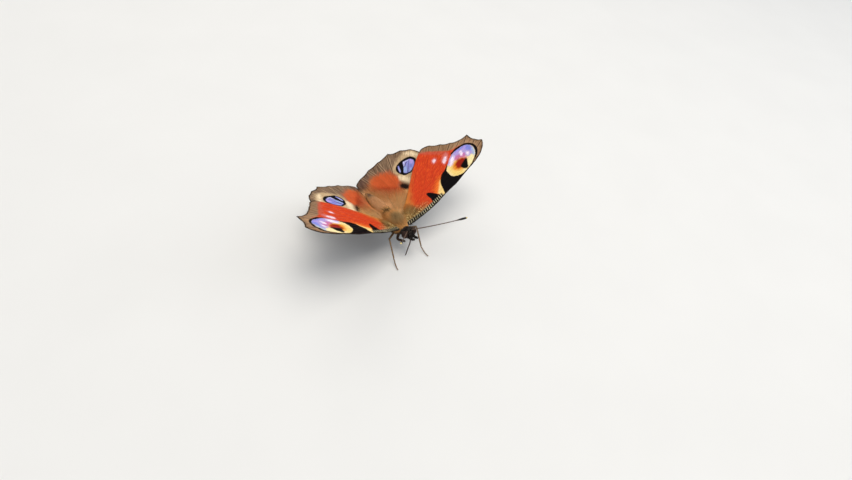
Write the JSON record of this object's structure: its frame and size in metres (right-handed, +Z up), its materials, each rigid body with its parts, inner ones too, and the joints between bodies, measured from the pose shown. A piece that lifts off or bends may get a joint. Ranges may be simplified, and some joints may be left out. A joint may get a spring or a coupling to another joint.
{
  "type": "peacock butterfly",
  "caption": "Life-size peacock butterfly standing with its scalloped, eyespotted wings half spread, feelers forward and tongue lowered.",
  "frame": {"origin": "on the floor, at the middle of the butterfly's spread seen from above", "axes": "the butterfly faces -Y, its own left wings are on +X, +Z is up from the floor it stands on"},
  "size_m": [0.0614, 0.0328, 0.0241],
  "materials": {
    "thorax_hair": "long olive-brown and ginger hair",
    "abdomen_hair": "short dark brown hair over ringed segments",
    "face_hair": "near-black bristly hair",
    "eye": "dark, faceted, slightly glossy",
    "antenna": "dark horn with pale rings and a buff tip",
    "leg": "buff-brown scaled horn",
    "forewing_scales": "matt rust-red scales, grey-brown margin, eyespots",
    "hindwing_scales": "matt rust-red and grey-brown scales, eyespots, hairy base"
  },
  "bodies": {
    "root": {"abdomen": "abdomen_hair", "antenna_left": "antenna", "antenna_right": "antenna", "eye_left": "eye", "eye_right": "eye", "forewing_left": "forewing_scales", "forewing_right": "forewing_scales", "head": "face_hair", "hindwing_left": "hindwing_scales", "hindwing_right": "hindwing_scales", "leg_fore_left": "leg", "leg_fore_right": "leg", "leg_hind_left": "leg", "leg_hind_right": "leg", "leg_mid_left": "leg", "leg_mid_right": "leg", "palp_left": "face_hair", "palp_right": "face_hair", "proboscis": "antenna", "thorax": "thorax_hair"}
  },
  "joints": []
}
